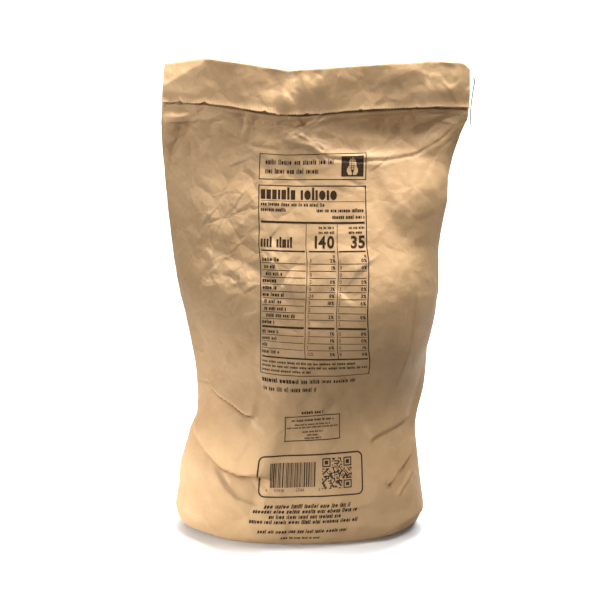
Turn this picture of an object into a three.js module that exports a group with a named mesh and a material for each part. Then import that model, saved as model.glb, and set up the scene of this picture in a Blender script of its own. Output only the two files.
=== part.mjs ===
// A filled and shut 50 lb kraft paper sack of popping corn, standing on its base.
// The sack is one flat paper tube, 445 mm (17.5 in) wide when empty. The corn rounds its lower two thirds,
// the top stays flat and is folded over to the front and glued, and a short grey pull cord hangs from
// the right end of that closure. Millimetres, +Z up, +X to the right of the printed face, which looks
// towards -Y. The origin is on the ground, under the middle of the sack's overall box.
import * as THREE from "three";

// ---- Driving dimensions ----
const HEIGHT = 714; // ground to the highest point of the folded top edge
const BAND_HEIGHT = 62; // top edge down to the cut edge of the folded-over closure
const PRESSED_DEPTH = 2.4; // of each panel from the spine inside the closure
const TOP_FOLD_RISE = 1; // from the last ring up to the fold
const FLAP_STEP = 1.6; // how far the glued flap stands proud of the panel below it
const FOOT_HEIGHT = 40; // the rounding between the standing base and the wall
const FOOT_INSET = 23; // how far that rounding runs in under the sack
const BASE_SEAM_SHARE = 0.72; // length of the seam under the base, as a share of the base's width
const PANEL_COLUMNS = 42; // grid columns across the front panel, and as many across the back
const WALL_ROWS = 50; // grid rows from the foot to the closure
const FOOT_ROWS = 5;
const BASE_ROWS = 3;
const BAND_ROWS = 4;
const ARC_SAMPLES = 160; // points that measure the paper's length across one panel

// Cross-sections of the loft. left and right are the sides, front and back the depth of the panels from
// the spine, spine its place in Y, and crown the X of the deepest point. squareLeft and squareRight shape
// each half: 0.5 is an ellipse, more is the lens of an opened flat tube, and less is boxy.
const SECTIONS = [
  { z: 40, left: -215, right: 172, front: 90, back: 77, spine: -6, crown: -32, squareLeft: 0.46, squareRight: 0.47 },
  { z: 86, left: -205, right: 166, front: 96, back: 88, spine: -2, crown: -24, squareLeft: 0.45, squareRight: 0.45 },
  { z: 152, left: -190, right: 158, front: 97, back: 96, spine: 2, crown: -14, squareLeft: 0.5, squareRight: 0.48 },
  { z: 184, left: -179, right: 160, front: 100, back: 99, spine: 4, crown: -12, squareLeft: 0.5, squareRight: 0.48 },
  { z: 233, left: -179, right: 169, front: 106, back: 100, spine: 5, crown: -8, squareLeft: 0.5, squareRight: 0.48 },
  { z: 296, left: -187, right: 173, front: 112, back: 88, spine: 5, crown: 2, squareLeft: 0.52, squareRight: 0.47 },
  { z: 404, left: -207, right: 179, front: 99, back: 66, spine: 3, crown: 26, squareLeft: 0.62, squareRight: 0.48 },
  { z: 508, left: -216, right: 189, front: 70, back: 52, spine: 0, crown: 46, squareLeft: 0.8, squareRight: 0.56 },
  { z: 567, left: -219, right: 199, front: 47, back: 39, spine: -4, crown: 44, squareLeft: 0.88, squareRight: 0.7 },
  { z: 611, left: -218, right: 208, front: 17, back: 22, spine: -17, crown: 20, squareLeft: 0.8, squareRight: 0.8 },
  { z: 651, left: -217, right: 218, front: 3, back: 3, spine: -28, crown: 0, squareLeft: 0.2, squareRight: 0.2 },
  { z: HEIGHT, left: -213, right: 218.5, front: PRESSED_DEPTH, back: PRESSED_DEPTH, spine: -27, crown: 0, squareLeft: 0.2, squareRight: 0.2 },
];
const CLOSURE_BOW = 20; // how far the middle of the closure bows to the front
const CLOSURE_BOW_FROM = 540; // the bow fades in from here up
const PRINT_LEAN = { low: -16, high: -2 }; // X of the panel's middle line at the ground and at the top

// The top edge isn't straight: how far it stands below HEIGHT, from the left corner to the right one.
const TOP_LINE = [[-217, 8], [-155, 1], [-96, 9], [-40, 18], [30, 13], [157, 5], [206, 7], [219, 16]];

// Soft swells and hollows of the filled paper: their middle, their reach across and up, and their height.
const SWELLS = [
  { name: "right belly, high", front: true, x: 138, z: 440, reachX: 56, reachZ: 70, height: 9 },
  { name: "right belly", front: true, x: 98, z: 354, reachX: 60, reachZ: 84, height: 18 },
  { name: "waist", front: true, x: 78, z: 214, reachX: 118, reachZ: 68, height: -22 },
  { name: "hollow below the closure", front: true, x: 112, z: 618, reachX: 100, reachZ: 18, height: -13 },
  { name: "right shoulder", front: true, x: 158, z: 534, reachX: 56, reachZ: 50, height: 13 },
  { name: "hollow beside the panel", front: true, x: -150, z: 596, reachX: 60, reachZ: 26, height: -6 },
  { name: "left belly", front: true, x: -130, z: 470, reachX: 85, reachZ: 75, height: 4 },
  { name: "left waist", front: true, x: -145, z: 268, reachX: 84, reachZ: 84, height: -21 },
  { name: "left flare", front: true, x: -150, z: 112, reachX: 80, reachZ: 42, height: 12 },
  { name: "back belly", front: false, x: -60, z: 300, reachX: 90, reachZ: 110, height: 5 },
  { name: "back hollow", front: false, x: 40, z: 590, reachX: 120, reachZ: 28, height: -8 },
];

// Folds of the paper, as lines in X and Z from left to right. above and below are how far the paper stands
// out (or, below zero, in) on the line's upper and lower side, and each dies out over its reach.
const FOLDS = [
  { name: "left sag", front: true, above: 13, below: -10, reachAbove: 40, reachBelow: 28,
    line: [[-186, 186], [-169, 159], [-153, 143], [-128, 125], [-106, 118], [-82, 119], [-58, 110]] },
  { name: "left tuck", front: true, above: 5, below: -4, reachAbove: 24, reachBelow: 16,
    line: [[-182, 240], [-153, 225], [-135, 218], [-102, 204], [-84, 202]] },
  { name: "flare crease", front: true, above: -3, below: 4, reachAbove: 12, reachBelow: 18,
    line: [[-145, 132], [-125, 97], [-111, 85], [-76, 74]] },
  { name: "right sag", front: true, above: 7, below: -7, reachAbove: 26, reachBelow: 24,
    line: [[108, 92], [119, 104], [127, 114], [152, 132], [166, 146]] },
  { name: "right flare crease", front: true, above: -3, below: 4, reachAbove: 14, reachBelow: 16,
    line: [[122, 74], [130, 83], [142, 96], [156, 106]] },
  { name: "turned right corner", front: true, above: 3, below: -9, reachAbove: 20, reachBelow: 30,
    line: [[88, 0], [107, 6], [122, 18], [143, 26], [165, 28], [184, 34]] },
  { name: "right waist crease", front: true, above: 4, below: -3, reachAbove: 22, reachBelow: 22,
    line: [[84, 160], [117, 175], [158, 184]] },
  { name: "shoulder", front: true, above: -4, below: 4, reachAbove: 24, reachBelow: 40,
    line: [[-4, 598], [21, 587], [60, 583], [100, 584], [135, 590], [177, 612], [207, 640]] },
  { name: "middle crease", front: true, above: -3, below: 3, reachAbove: 15, reachBelow: 16,
    line: [[-64, 640], [-35, 618], [-6, 602], [28, 584]] },
  { name: "left shoulder", front: true, above: -2.5, below: 2.5, reachAbove: 22, reachBelow: 34,
    line: [[-190, 644], [-130, 622], [-85, 606], [-40, 600]] },
  { name: "back left sag", front: false, above: 8, below: -8, reachAbove: 34, reachBelow: 26,
    line: [[-176, 150], [-140, 124], [-96, 112], [-44, 118]] },
  { name: "back right sag", front: false, above: 8, below: -7, reachAbove: 30, reachBelow: 24,
    line: [[46, 128], [88, 116], [128, 132], [158, 166]] },
  { name: "back right tuck", front: false, above: 5, below: -5, reachAbove: 26, reachBelow: 20,
    line: [[70, 242], [110, 226], [156, 236]] },
  { name: "back shoulder", front: false, above: -6, below: 6, reachAbove: 22, reachBelow: 34,
    line: [[-190, 632], [-110, 596], [-10, 582], [96, 594], [190, 634]] },
];
const FOLD_EDGE = 9; // half the width over which a fold turns from its upper to its lower height
const FOLD_END = 0.16; // share of its length over which a fold fades in and out
const RELIEF_END = { from: 14, to: 4 }; // below the closure, where swells and folds fade out
const SIDE_COLUMNS = 3; // columns next to the sack's sides over which swells and folds fade out

// The pull cord: it leaves the closure's right end, bends over and hangs beside the sack.
const CORD_DIAMETER = 1.8;
const CORD_SIDES = 8;
const CORD_STEPS = 60;
const CORD_EXIT = [219.3, -29, 685.6]; // just clear of the paper
const CORD_ROUTE = [[0, 0, 0], [0.4, 0, 0], [1.78, 0, -0.27], [2.95, 0.05, -1.05], [3.73, 0.1, -2.22],
  [4, 0.15, -3.7], [3.9, 0.3, -6.5], [3.4, 0.5, -11], [2.6, 0.8, -18], [1.8, 1, -25], [1.1, 1.2, -33],
  [0.6, 1.3, -41], [0.4, 1.3, -48], [0.6, 1.3, -55], [1.1, 1.2, -62], [1.9, 1.1, -68.5]];

// ---- Shape of the sack ----
const clamp01 = (value) => Math.min(1, Math.max(0, value));
const smoothStep = (from, to, value) => {
  const t = clamp01((value - from) / (to - from));
  return t * t * (3 - 2 * t);
};

// A section's value at any height, on a smooth curve through the listed sections.
function sectionValue(key, z) {
  const last = SECTIONS.length - 1;
  const height = Math.min(Math.max(z, SECTIONS[0].z), SECTIONS[last].z);
  let i = 0;
  while (i < last - 1 && height > SECTIONS[i + 1].z) i += 1;
  const [a, b] = [SECTIONS[i], SECTIONS[i + 1]];
  const slope = (n) => {
    const low = SECTIONS[Math.max(n - 1, 0)];
    const high = SECTIONS[Math.min(n + 1, last)];
    return (high[key] - low[key]) / (high.z - low.z);
  };
  const span = b.z - a.z;
  const t = (height - a.z) / span;
  return (2 * t ** 3 - 3 * t ** 2 + 1) * a[key] + (t ** 3 - 2 * t ** 2 + t) * span * slope(i)
    + (3 * t ** 2 - 2 * t ** 3) * b[key] + (t ** 3 - t ** 2) * span * slope(i + 1);
}

// How far the foot's rounding has drawn the outline in at a height below FOOT_HEIGHT.
function footInset(z) {
  const below = clamp01((FOOT_HEIGHT - z) / FOOT_HEIGHT);
  return FOOT_INSET * (1 - Math.sqrt(1 - below * below));
}

// The outline of the sack at one height.
function outlineAt(z) {
  const inset = footInset(z);
  return {
    left: sectionValue("left", z) + inset,
    right: sectionValue("right", z) - inset,
    front: Math.max(sectionValue("front", z), PRESSED_DEPTH) - inset,
    back: Math.max(sectionValue("back", z), PRESSED_DEPTH) - inset,
    spine: sectionValue("spine", z),
    crown: sectionValue("crown", z),
    squareLeft: sectionValue("squareLeft", z),
    squareRight: sectionValue("squareRight", z),
  };
}

// The depth of a panel at a place across it, from the crown to either side.
function panelPoint(outline, isFront, angle) {
  const toRight = angle > 0;
  const across = Math.sin(Math.abs(angle));
  const half = toRight ? outline.right - outline.crown : outline.crown - outline.left;
  const square = toRight ? outline.squareRight : outline.squareLeft;
  const depth = (isFront ? -outline.front : outline.back) * Math.max(0, 1 - across * across) ** square;
  return [outline.crown + Math.sign(angle) * half * across, outline.spine + depth];
}

// A panel cut into equal lengths of paper on each side of its middle line, from the left side to the right.
function panelColumns(outline, isFront, middle) {
  const points = [];
  for (let i = 0; i <= ARC_SAMPLES; i += 1) {
    points.push(panelPoint(outline, isFront, (i / ARC_SAMPLES - 0.5) * Math.PI));
  }
  const length = [0];
  for (let i = 1; i < points.length; i += 1) {
    length.push(length[i - 1] + Math.hypot(points[i][0] - points[i - 1][0], points[i][1] - points[i - 1][1]));
  }
  const cross = Math.max(1, points.findIndex((p) => p[0] >= middle));
  const share = (middle - points[cross - 1][0]) / (points[cross][0] - points[cross - 1][0]);
  const middleLength = length[cross - 1] + share * (length[cross] - length[cross - 1]);
  const total = length[length.length - 1];
  const half = PANEL_COLUMNS / 2;
  const columns = [];
  for (let c = 0, i = 1; c <= PANEL_COLUMNS; c += 1) {
    const wanted = c <= half ? (middleLength * c) / half
      : middleLength + ((total - middleLength) * (c - half)) / half;
    while (i < points.length - 1 && length[i] < wanted) i += 1;
    const t = clamp01((wanted - length[i - 1]) / (length[i] - length[i - 1]));
    columns.push([0, 1].map((k) => points[i - 1][k] + t * (points[i][k] - points[i - 1][k])));
  }
  return columns;
}

// How far the top edge stands below HEIGHT at a place across it.
function topDrop(x) {
  const last = TOP_LINE.length - 1;
  let i = 0;
  while (i < last - 1 && x > TOP_LINE[i + 1][0]) i += 1;
  const [[fromX, fromDrop], [toX, toDrop]] = [TOP_LINE[i], TOP_LINE[i + 1]];
  return fromDrop + (toDrop - fromDrop) * clamp01((x - fromX) / (toX - fromX));
}

// How far a fold moves its panel at (x, z), outwards being positive.
function foldHeight(fold, x, z) {
  let nearest = { distance: Infinity, side: 1, along: 0 };
  const steps = fold.line.length - 1;
  for (let i = 0; i < steps; i += 1) {
    const [startX, startZ] = fold.line[i];
    const [runX, runZ] = [fold.line[i + 1][0] - startX, fold.line[i + 1][1] - startZ];
    const t = clamp01(((x - startX) * runX + (z - startZ) * runZ) / (runX * runX + runZ * runZ));
    const distance = Math.hypot(x - startX - t * runX, z - startZ - t * runZ);
    if (distance < nearest.distance) {
      const side = runX * (z - startZ) - runZ * (x - startX) < 0 ? -1 : 1;
      nearest = { distance, side, along: (i + t) / steps };
    }
  }
  const above = smoothStep(-FOLD_EDGE, FOLD_EDGE, nearest.distance * nearest.side);
  const fade = smoothStep(0, FOLD_END, nearest.along) * smoothStep(0, FOLD_END, 1 - nearest.along);
  return fade * (above * fold.above * Math.exp(-nearest.distance / fold.reachAbove)
    + (1 - above) * fold.below * Math.exp(-nearest.distance / fold.reachBelow));
}

// How far all swells and folds together move a panel at (x, z).
function reliefAt(isFront, x, z) {
  const swell = SWELLS.filter((item) => item.front === isFront).reduce((sum, item) => {
    const away = ((x - item.x) / item.reachX) ** 2 + ((z - item.z) / item.reachZ) ** 2;
    return sum + item.height * Math.exp(-away);
  }, 0);
  return FOLDS.filter((item) => item.front === isFront)
    .reduce((sum, item) => sum + foldHeight(item, x, z), swell);
}

// One closed ring of the sack at a height, the front panel first, from left to right and back again.
function ringAt(z) {
  const outline = outlineAt(z);
  const rise = z / HEIGHT;
  const middle = PRINT_LEAN.low + (PRINT_LEAN.high - PRINT_LEAN.low) * rise;
  const front = panelColumns(outline, true, middle);
  const back = panelColumns(outline, false, middle);
  const bow = CLOSURE_BOW * smoothStep(CLOSURE_BOW_FROM, HEIGHT - BAND_HEIGHT, z);
  const widest = (outline.right - outline.left) / 2;
  const place = ([x, y], isFront) => {
    const across = (x - (outline.left + outline.right) / 2) / widest;
    const drop = topDrop(x) * smoothStep(CLOSURE_BOW_FROM, HEIGHT - BAND_HEIGHT, z);
    const flap = isFront && z >= HEIGHT - BAND_HEIGHT ? FLAP_STEP : 0;
    return [x, y - bow * (1 - across * across) - flap, z - drop];
  };
  return [
    ...front.map((p) => place(p, true)),
    ...back.slice(1, -1).reverse().map((p) => place(p, false)),
  ];
}

// The heights of the rings, from the ground to the top fold.
function ringHeights() {
  const heights = [];
  const lip = HEIGHT - BAND_HEIGHT;
  for (let i = 0; i < FOOT_ROWS; i += 1) {
    heights.push(FOOT_HEIGHT * (1 - Math.cos((i / FOOT_ROWS) * (Math.PI / 2))));
  }
  for (let i = 0; i < WALL_ROWS; i += 1) {
    heights.push(FOOT_HEIGHT + ((lip - 2 - FOOT_HEIGHT) * i) / (WALL_ROWS - 1));
  }
  for (let i = 0; i <= BAND_ROWS; i += 1) {
    heights.push(lip + ((HEIGHT - TOP_FOLD_RISE - lip) * i) / BAND_ROWS);
  }
  return heights;
}

// Moves the points of both panels by their relief, square to the paper.
function foldPaper(rings) {
  const lip = HEIGHT - BAND_HEIGHT;
  const across = new THREE.Vector3();
  const up = new THREE.Vector3();
  const around = 2 * PANEL_COLUMNS;
  return rings.map((ring, r) => ring.map((point, c) => {
    const side = Math.min(c % PANEL_COLUMNS, PANEL_COLUMNS - (c % PANEL_COLUMNS));
    if (side === 0 || r === 0 || r === rings.length - 1) return point;
    const here = new THREE.Vector3(...point);
    across.set(...ring[(c + 1) % around]).sub(new THREE.Vector3(...ring[c - 1]));
    up.set(...rings[r + 1][c]).sub(new THREE.Vector3(...rings[r - 1][c]));
    const outwards = across.cross(up).normalize();
    const kept = smoothStep(0, FOOT_HEIGHT / 2, here.z) * (1 - smoothStep(lip - RELIEF_END.from, lip - RELIEF_END.to, here.z))
      * smoothStep(0, SIDE_COLUMNS, side);
    return here.addScaledVector(outwards, kept * reliefAt(c < PANEL_COLUMNS, here.x, here.z)).toArray();
  }));
}

// The middle of the ring on the ground, between its two sides.
function footMiddle(foot) {
  return [0, 1].map((k) => (foot[0][k] + foot[PANEL_COLUMNS][k]) / 2);
}

// The base: rings that shrink over the ground from the foot to the seam across its middle.
function baseRings(foot) {
  const [middleX, middleY] = footMiddle(foot);
  const rings = [];
  for (let i = 1; i <= BASE_ROWS; i += 1) {
    const share = i / (BASE_ROWS + 1);
    const squeeze = 1 - (1 - BASE_SEAM_SHARE) * share;
    rings.unshift(foot.map(([x, y, z]) => (
      [middleX + (x - middleX) * squeeze, middleY + (y - middleY) * (1 - share), z * (1 - share) ** 2]
    )));
  }
  return rings;
}

// Rings to one closed mesh. It ends in a seam line under the base and in the fold along the top.
function sackGeometry() {
  const wall = foldPaper(ringHeights().map(ringAt));
  const rings = [...baseRings(wall[0]), ...wall];
  const around = 2 * PANEL_COLUMNS;
  const foot = wall[0];
  const [middleX, middleY] = footMiddle(foot);
  const points = rings.flat();
  const seamStart = points.length;
  for (let c = 0; c <= PANEL_COLUMNS; c += 1) {
    points.push([middleX + (foot[c][0] - middleX) * BASE_SEAM_SHARE, middleY, 0]);
  }
  const foldStart = points.length;
  const top = rings[rings.length - 1];
  for (let c = 0; c <= PANEL_COLUMNS; c += 1) {
    const other = c === 0 || c === PANEL_COLUMNS ? c : around - c;
    points.push([0, 1, 2].map((k) => (top[c][k] + top[other][k]) / 2 + (k === 2 ? TOP_FOLD_RISE : 0)));
  }
  const index = [];
  const lineColumn = (c) => (c <= PANEL_COLUMNS ? c : around - c);
  const quad = (a, b, c, d) => index.push(a, b, c, a, c, d);
  for (let c = 0; c < around; c += 1) {
    const next = (c + 1) % around;
    for (let r = 0; r < rings.length - 1; r += 1) {
      quad(r * around + c, r * around + next, (r + 1) * around + next, (r + 1) * around + c);
    }
    quad(seamStart + lineColumn(c), seamStart + lineColumn(next), next, c);
    const topRow = (rings.length - 1) * around;
    quad(topRow + c, topRow + next, foldStart + lineColumn(next), foldStart + lineColumn(c));
  }
  const geometry = new THREE.BufferGeometry();
  geometry.setAttribute("position", new THREE.Float32BufferAttribute(points.flat(), 3));
  geometry.setIndex(index);
  geometry.computeVertexNormals();
  return geometry;
}

function kraftSack() {
  const paper = new THREE.MeshStandardMaterial({ color: 0xc9a06e, roughness: 0.72, metalness: 0 });
  const mesh = new THREE.Mesh(sackGeometry(), paper);
  mesh.name = "sack";
  return mesh;
}

// The cord, as a plain tube along its route from the closure's right end.
function pullCord() {
  const exit = new THREE.Vector3(...CORD_EXIT);
  const route = new THREE.CatmullRomCurve3(CORD_ROUTE.map((point) => new THREE.Vector3(...point).add(exit)));
  const section = new THREE.Shape();
  for (let i = 0; i <= CORD_SIDES; i += 1) {
    const turn = (i / CORD_SIDES) * 2 * Math.PI;
    const point = [Math.cos(turn) * CORD_DIAMETER / 2, Math.sin(turn) * CORD_DIAMETER / 2];
    if (i === 0) section.moveTo(...point);
    else section.lineTo(...point);
  }
  const tube = new THREE.ExtrudeGeometry(section, { steps: CORD_STEPS, extrudePath: route, curveSegments: 1 });
  const cotton = new THREE.MeshStandardMaterial({ color: 0x83827f, roughness: 0.9, metalness: 0 });
  const mesh = new THREE.Mesh(tube, cotton);
  mesh.name = "pull_cord";
  return mesh;
}

const cornSack = new THREE.Group();
cornSack.add(kraftSack());
cornSack.add(pullCord());

export default cornSack;
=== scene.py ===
import math

import bpy
import numpy as np
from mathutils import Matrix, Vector


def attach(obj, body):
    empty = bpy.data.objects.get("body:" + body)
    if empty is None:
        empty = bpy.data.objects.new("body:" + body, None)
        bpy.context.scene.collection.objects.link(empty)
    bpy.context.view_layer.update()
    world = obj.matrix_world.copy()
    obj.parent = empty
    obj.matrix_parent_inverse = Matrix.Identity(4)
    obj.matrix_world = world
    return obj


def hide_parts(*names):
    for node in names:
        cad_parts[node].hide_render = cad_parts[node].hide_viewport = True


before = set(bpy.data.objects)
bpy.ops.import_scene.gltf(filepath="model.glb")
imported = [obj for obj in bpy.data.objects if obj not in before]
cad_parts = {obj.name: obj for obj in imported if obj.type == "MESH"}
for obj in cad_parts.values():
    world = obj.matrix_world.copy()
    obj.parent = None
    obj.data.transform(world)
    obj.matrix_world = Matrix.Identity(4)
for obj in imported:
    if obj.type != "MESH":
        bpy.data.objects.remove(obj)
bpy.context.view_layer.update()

MM = 0.001


# ---- Camera ----
# It stands 1.5 m from the sack and looks down on it by 13 degrees, a little to the left of the sack's
# middle, as the photograph's camera did.
CAMERA_DISTANCE = 1.5
CAMERA_LOOKS_DOWN = math.radians(13)
CAMERA_TARGET = Vector((-0.021, 0, 0.360))
CAMERA_FIELD = 2 * math.atan(0.3)  # the 600-pixel frame is 0.9 m wide at the target

camera = bpy.data.objects.new("camera", bpy.data.cameras.new("camera"))
bpy.context.collection.objects.link(camera)
camera.data.angle = CAMERA_FIELD
camera.location = CAMERA_TARGET + CAMERA_DISTANCE * Vector(
    (0, -math.cos(CAMERA_LOOKS_DOWN), math.sin(CAMERA_LOOKS_DOWN))
)
camera.rotation_euler = (math.pi / 2 - CAMERA_LOOKS_DOWN, 0, 0)
bpy.context.scene.camera = camera


# ---- Pull cord ----
# A short end of grey three-strand cotton yarn, 1.8 mm thick. It comes out of the right end of the glued
# closure, bends over and hangs down beside the sack, and its cut end has frayed.
CORD_DIAMETER = 1.8 * MM
CORD_EXIT = Vector((0.2193, -0.029, 0.6856))
CORD_TWIST = 6.5 * MM  # length of one full turn of the strands
CORD_ROUTE = [
    (0, 0, 0), (0.4, 0, 0), (1.78, 0, -0.27), (2.95, 0.05, -1.05), (3.73, 0.1, -2.22), (4, 0.15, -3.7),
    (3.9, 0.3, -6.5), (3.4, 0.5, -11), (2.6, 0.8, -18), (1.8, 1, -25), (1.1, 1.2, -33), (0.6, 1.3, -41),
    (0.4, 1.3, -48), (0.6, 1.3, -55), (1.1, 1.2, -62), (1.9, 1.1, -68.5),
]
cord_points = [CORD_EXIT + Vector(point) * MM for point in CORD_ROUTE]


def add_node(tree, kind, settings=None, **links):
    """A node with its settings and inputs. A link's name is the input's, with _ for a space."""
    made = tree.nodes.new(kind)
    for name, value in (settings or {}).items():
        setattr(made, name, value)
    for name, value in links.items():
        key = int(name[1:]) if name[0] == "i" and name[1:].isdigit() else name.replace("_", " ")
        socket = made.inputs[key]
        if isinstance(value, bpy.types.NodeSocket):
            tree.links.new(value, socket)
        else:
            socket.default_value = value
    return made


def srgb(text):
    """The linear RGBA of an sRGB hex colour."""
    parts = [int(text[i:i + 2], 16) / 255 for i in (1, 3, 5)]
    return [c / 12.92 if c <= 0.04045 else ((c + 0.055) / 1.055) ** 2.4 for c in parts] + [1.0]


def new_material(name, **settings):
    """A material with these settings of its Principled shader, and its tree and that shader."""
    material = bpy.data.materials.new(name)
    material.use_nodes = True
    tree = material.node_tree
    shader = tree.nodes["Principled BSDF"]
    for key, value in settings.items():
        shader.inputs[key.replace("_", " ")].default_value = value
    return material, tree, shader


# Spun cotton: matt, grey with paler and darker fibres, and a sheen of loose fuzz.
cotton, tree, shader = new_material("spun_cotton", Roughness=0.9, Sheen_Weight=0.3)
COTTON_FIBRE = 0.6 * MM
place = add_node(tree, "ShaderNodeTexCoord").outputs["Object"]
fibres = add_node(tree, "ShaderNodeTexNoise", Vector=place, Scale=1 / COTTON_FIBRE, Detail=3.0)
tones = add_node(tree, "ShaderNodeValToRGB", Fac=fibres.outputs["Fac"])
for element, position, colour in zip(tones.color_ramp.elements, (0.3, 0.7), ("#5e5d5b", "#a9a7a3")):
    element.position = position
    element.color = srgb(colour)
tree.links.new(tones.outputs["Color"], shader.inputs["Base Color"])


def new_mesh(name, points, faces, material):
    """A smoothly shaded object at the origin from points in metres."""
    mesh = bpy.data.meshes.new(name)
    mesh.from_pydata([tuple(p) for p in points], [], faces)
    mesh.materials.append(material)
    mesh.polygons.foreach_set("use_smooth", [True] * len(mesh.polygons))
    mesh.update()
    piece = bpy.data.objects.new(name, mesh)
    bpy.context.collection.objects.link(piece)
    return piece


# The yarn is three strands carried along the route by a profile of three rings, which turns as it goes.
STRAND_RADIUS = 0.46 * MM
STRAND_FROM_MIDDLE = 0.46 * MM
YARN_STEP = 0.45 * MM
YARN_SIZES = {"Strand radius": STRAND_RADIUS, "From middle": STRAND_FROM_MIDDLE, "Twist": CORD_TWIST,
              "Step": YARN_STEP}
yarn = bpy.data.node_groups.new("twisted_yarn", "GeometryNodeTree")
yarn.interface.new_socket("Geometry", in_out="INPUT", socket_type="NodeSocketGeometry")
for size in YARN_SIZES:
    yarn.interface.new_socket(size, in_out="INPUT", socket_type="NodeSocketFloat")
yarn.interface.new_socket("Geometry", in_out="OUTPUT", socket_type="NodeSocketGeometry")
given, result = yarn.nodes.new("NodeGroupInput"), yarn.nodes.new("NodeGroupOutput")
line = add_node(yarn, "GeometryNodeMeshToCurve", Mesh=given.outputs["Geometry"])
line = add_node(yarn, "GeometryNodeCurveSplineType", {"spline_type": "CATMULL_ROM"}, Curve=line.outputs[0])
line = add_node(yarn, "GeometryNodeResampleCurve", {"mode": "LENGTH"}, Curve=line.outputs[0],
                Length=given.outputs["Step"])
along = add_node(yarn, "GeometryNodeSplineParameter")
turns = add_node(yarn, "ShaderNodeMath", {"operation": "DIVIDE"}, i0=along.outputs["Length"],
                 i1=given.outputs["Twist"])
angle = add_node(yarn, "ShaderNodeMath", {"operation": "MULTIPLY"}, i0=turns.outputs[0], i1=2 * math.pi)
line = add_node(yarn, "GeometryNodeSetCurveTilt", Curve=line.outputs[0], Tilt=angle.outputs[0])
ring = add_node(yarn, "GeometryNodeCurvePrimitiveCircle", Resolution=8, Radius=given.outputs["Strand radius"])
spots = add_node(yarn, "GeometryNodeCurvePrimitiveCircle", Resolution=3, Radius=given.outputs["From middle"])
rings = add_node(yarn, "GeometryNodeInstanceOnPoints", Points=spots.outputs[0], Instance=ring.outputs[0])
rings = add_node(yarn, "GeometryNodeRealizeInstances", Geometry=rings.outputs[0])
strands = add_node(yarn, "GeometryNodeCurveToMesh", Curve=line.outputs[0], Profile_Curve=rings.outputs[0],
                   Fill_Caps=True)
strands = add_node(yarn, "GeometryNodeRealizeInstances", Geometry=strands.outputs[0])
strands = add_node(yarn, "GeometryNodeSetMaterial", Geometry=strands.outputs[0], Material=cotton)
yarn.links.new(strands.outputs[0], result.inputs[0])

cord_line = new_mesh("cord_line", cord_points, [], cotton)
cord_line.data.edges.add(len(cord_points) - 1)
for i, edge in enumerate(cord_line.data.edges):
    edge.vertices = (i, i + 1)
twisting = cord_line.modifiers.new("twisting", "NODES")
twisting.node_group = yarn
for item in yarn.interface.items_tree:
    if item.name in YARN_SIZES:
        twisting[item.identifier] = YARN_SIZES[item.name]
grown = cord_line.evaluated_get(bpy.context.evaluated_depsgraph_get())
pull_cord = bpy.data.objects.new("pull_cord_yarn", bpy.data.meshes.new_from_object(grown))
pull_cord.data.name = "pull_cord_yarn"
bpy.data.objects.remove(cord_line)
bpy.context.collection.objects.link(pull_cord)
for polygon in pull_cord.data.polygons:
    polygon.use_smooth = True
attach(pull_cord, "root")
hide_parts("pull_cord")

# The frayed end: single cotton fibres of three sides that spread and thin out from the cut.
FRAY_FIBRES, FRAY_STEPS = 15, 4
FRAY_LENGTH = 5.5 * MM
FRAY_THICKNESS = 0.16 * MM
FRAY_THINNING = 0.8  # share of the thickness that is lost at the tip
fray_random = np.random.default_rng(4)
fray_points, fray_faces = [], []
down = (cord_points[-1] - cord_points[-2]).normalized()
side = down.cross(Vector((0, 1, 0))).normalized()
front = down.cross(side)
for fibre in range(FRAY_FIBRES):
    turn = fray_random.uniform(0, 2 * math.pi)
    spread = fray_random.uniform(0.05, 0.75)
    reach = FRAY_LENGTH * fray_random.uniform(0.4, 1)
    outwards = side * math.cos(turn) + front * math.sin(turn)
    start = cord_points[-1] - down * MM + outwards * CORD_DIAMETER * 0.25
    first = len(fray_points)
    for step in range(FRAY_STEPS + 1):
        t = step / FRAY_STEPS
        middle = start + down * reach * t + outwards * reach * spread * t * t
        thickness = FRAY_THICKNESS * (1 - FRAY_THINNING * t) / 2
        for corner in range(3):
            around = corner * 2 * math.pi / 3
            fray_points.append(middle + thickness * (side * math.cos(around) + front * math.sin(around)))
    fray_faces.append((first + 2, first + 1, first))
    fray_faces.append(tuple(first + 3 * FRAY_STEPS + corner for corner in range(3)))
    for step in range(FRAY_STEPS):
        for corner in range(3):
            low, high = first + 3 * step, first + 3 * step + 3
            after = (corner + 1) % 3
            fray_faces.append((low + corner, low + after, high + after, high + corner))
cord_fray = new_mesh("pull_cord_fray", fray_points, fray_faces, cotton)
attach(cord_fray, "root")


# ---- Sack ----
# A filled tube of a few plies of brown kraft paper, 445 mm wide when it's empty and flat. Corn rounds its
# lower two thirds and sags over the base, which folds the paper at the sides; the top is pressed flat up to
# the closure. Sizes in this section are millimetres.
HEIGHT = 714  # ground to the highest point of the folded top edge
LIP = HEIGHT - 62  # the lower edge of the folded-over closure
FOOT_HEIGHT = 40  # the rounding between the standing base and the wall
FOOT_INSET = 23
BASE_SEAM_SHARE = 0.72  # the length of the line across the base's middle against the base's width
BASE_SHRINK = 0.98  # how far the base's last ring closes on that line
FOOT_ROWS, WALL_ROWS, LIP_ROWS, BAND_ROWS, BASE_ROWS = 18, 226, 24, 22, 4
LIP_ZONE = 626  # from here up to the closure the rows are closer
PANEL_COLUMNS = 216  # of the front panel; the back panel keeps every second one
ARC_SAMPLES = 400
PAPER_WIDTH = 445  # of one panel
BAND_HALF_THICKNESS = 1.6

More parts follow.
